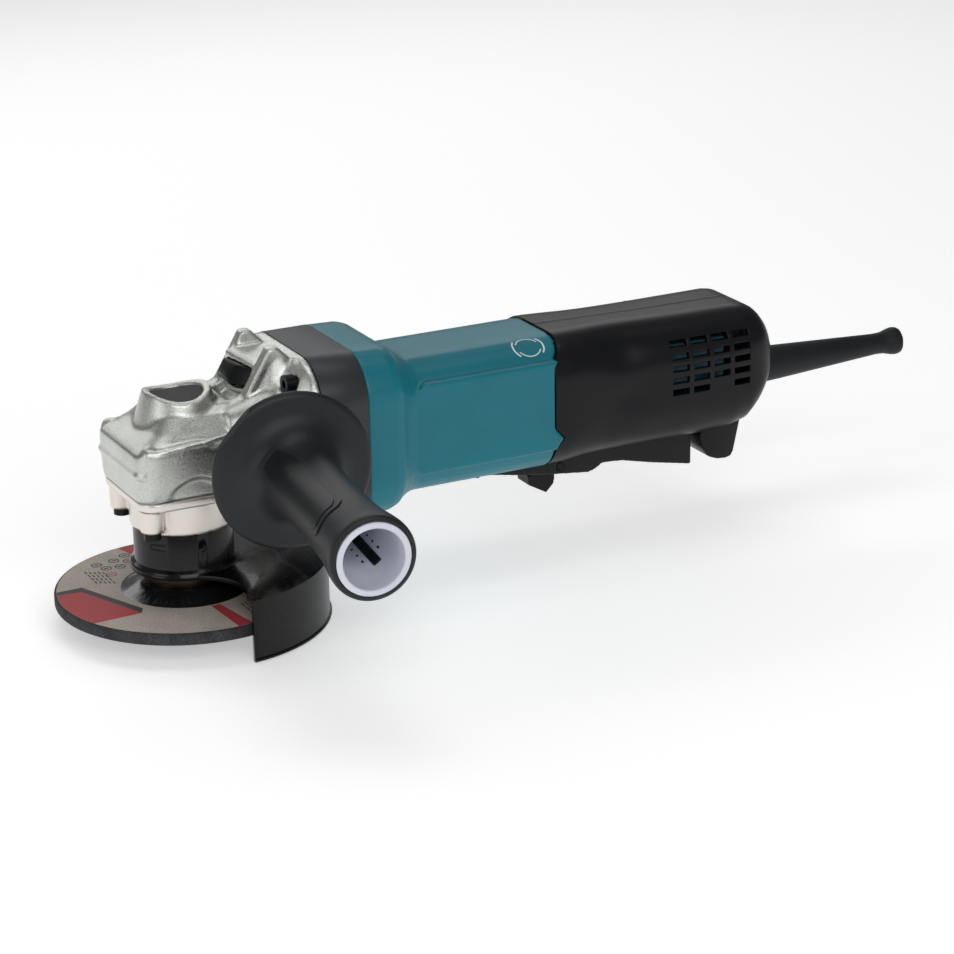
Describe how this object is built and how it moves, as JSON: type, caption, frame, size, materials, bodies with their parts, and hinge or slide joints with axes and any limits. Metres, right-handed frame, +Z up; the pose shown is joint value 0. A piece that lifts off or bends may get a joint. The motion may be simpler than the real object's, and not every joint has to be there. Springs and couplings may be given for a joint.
{
  "type": "angle grinder",
  "caption": "Corded angle grinder with a cast gear head, depressed-centre wheel, turning guard, side handle, rear grip with paddle switch and lock-off, and shaft lock.",
  "frame": {"origin": "centre of the spindle's free end face, on the spindle axis below the lock nut", "axes": "+X along the motor axis from the spindle to the cord, +Z up the spindle from its end face into the gear head, -Y along the side handle"},
  "size_m": [0.468, 0.2453, 0.1327],
  "materials": {
    "cast_aluminium": "satin shot-blasted casting",
    "warm_cast_aluminium": "satin casting, slightly warmer",
    "steel": "machined",
    "spring_steel": "bright drawn wire",
    "blackened_steel": "black oxide, satin",
    "bronze_steel": "dark plated, turned",
    "guard_paint": "gloss black enamel",
    "teal_plastic": "moulded glass-filled nylon, satin",
    "black_plastic": "moulded nylon, satin",
    "grey_plastic": "moulded nylon, matte",
    "pale_plastic": "moulded, smooth",
    "black_rubber": "moulded elastomer",
    "copper": "enamelled winding and bars",
    "brass": "stamped",
    "carbon": "graphite",
    "abrasive": "bonded grit with a pale printed face"
  },
  "bodies": {
    "body": {"gear_housing": "cast_aluminium", "bearing_box": "warm_cast_aluminium", "bearing_box_screws": "blackened_steel", "gear_housing_screws": "blackened_steel", "lower_ball_bearing": "steel", "bearing_retainer": "steel", "dust_ring": "black_plastic", "upper_bush": "brass", "shaft_lock_spring": "spring_steel", "baffle_ring": "grey_plastic", "motor_housing": "teal_plastic", "front_ball_bearing": "steel", "rear_ball_bearing": "steel", "stator_core": "steel", "stator_windings": "copper", "brush_holders": "brass", "carbon_brushes": "carbon", "brush_springs": "spring_steel", "handle_shell_right": "black_plastic", "handle_shell_left": "black_plastic", "handle_screws": "blackened_steel", "inner_frame": "teal_plastic", "switch_body": "black_plastic", "controller": "grey_plastic", "cord_guard": "black_rubber", "cord_clamp": "black_plastic", "cord_clamp_screws": "steel", "paddle_pivot_pin": "steel", "paddle_spring": "spring_steel", "handle_grip": "black_plastic", "handle_core": "pale_plastic", "handle_stud": "steel"},
    "guard": {"wheel_guard": "guard_paint", "guard_clamp_screw": "blackened_steel", "guard_clamp_nut": "steel"},
    "spindle": {"spindle": "steel", "bevel_gear": "steel", "inner_flange": "bronze_steel", "grinding_wheel": "abrasive", "lock_nut": "blackened_steel"},
    "armature": {"armature_shaft": "steel", "armature_core": "steel", "armature_windings": "copper", "commutator": "copper", "fan": "grey_plastic", "pinion": "steel", "pinion_nut": "steel"},
    "shaft_lock": {"shaft_lock_button": "black_plastic", "shaft_lock_pin": "steel"},
    "paddle": {"paddle": "black_plastic", "lock_off_pin": "steel", "lock_off_spring": "spring_steel"},
    "lock_off": {"lock_off_lever": "black_plastic"},
    "switch_slide": {"switch_plunger": "pale_plastic"}
  },
  "joints": [
    {"name": "spindle_spin", "type": "hinge", "parent": "body", "child": "spindle", "pos_m": [0, 0, 0], "axis": [0, 0, 1], "continuous": true},
    {"name": "armature_spin", "type": "hinge", "parent": "body", "child": "armature", "pos_m": [0, 0, 0.077], "axis": [1, 0, 0], "continuous": true},
    {"name": "shaft_lock_press", "type": "slide", "parent": "body", "child": "shaft_lock", "axis": [0, 0, -1], "range_m": [0, 0.0045], "stiffness_N_per_m": 1400, "springref_m": -0.0015, "deforming": ["shaft_lock_spring"]},
    {"name": "guard_turn", "type": "hinge", "parent": "body", "child": "guard", "pos_m": [0, 0, 0], "axis": [0, 0, 1], "range_deg": [-90, 90]},
    {"name": "paddle_squeeze", "type": "hinge", "parent": "body", "child": "paddle", "pos_m": [0.146, 0, 0.0435], "axis": [0, -1, 0], "range_deg": [0, 5], "stiffness_Nm_per_rad": 4, "springref_deg": -4.58, "deforming": ["paddle_spring"]},
    {"name": "switch_slide", "type": "slide", "parent": "body", "child": "switch_slide", "axis": [0, 0, 1], "range_m": [0, 0.0075]},
    {"name": "lock_off_swing", "type": "hinge", "parent": "paddle", "child": "lock_off", "pos_m": [0.195, 0, 0.0374], "axis": [0, -1, 0], "range_deg": [0, 25], "stiffness_Nm_per_rad": 0.06, "springref_deg": -11.46}
  ],
  "couplings": [
    {"joint": "armature_spin", "follows": "spindle_spin", "ratio": 3.2727},
    {"joint": "switch_slide", "follows": "paddle_squeeze", "m_per_rad": 0.084}
  ]
}
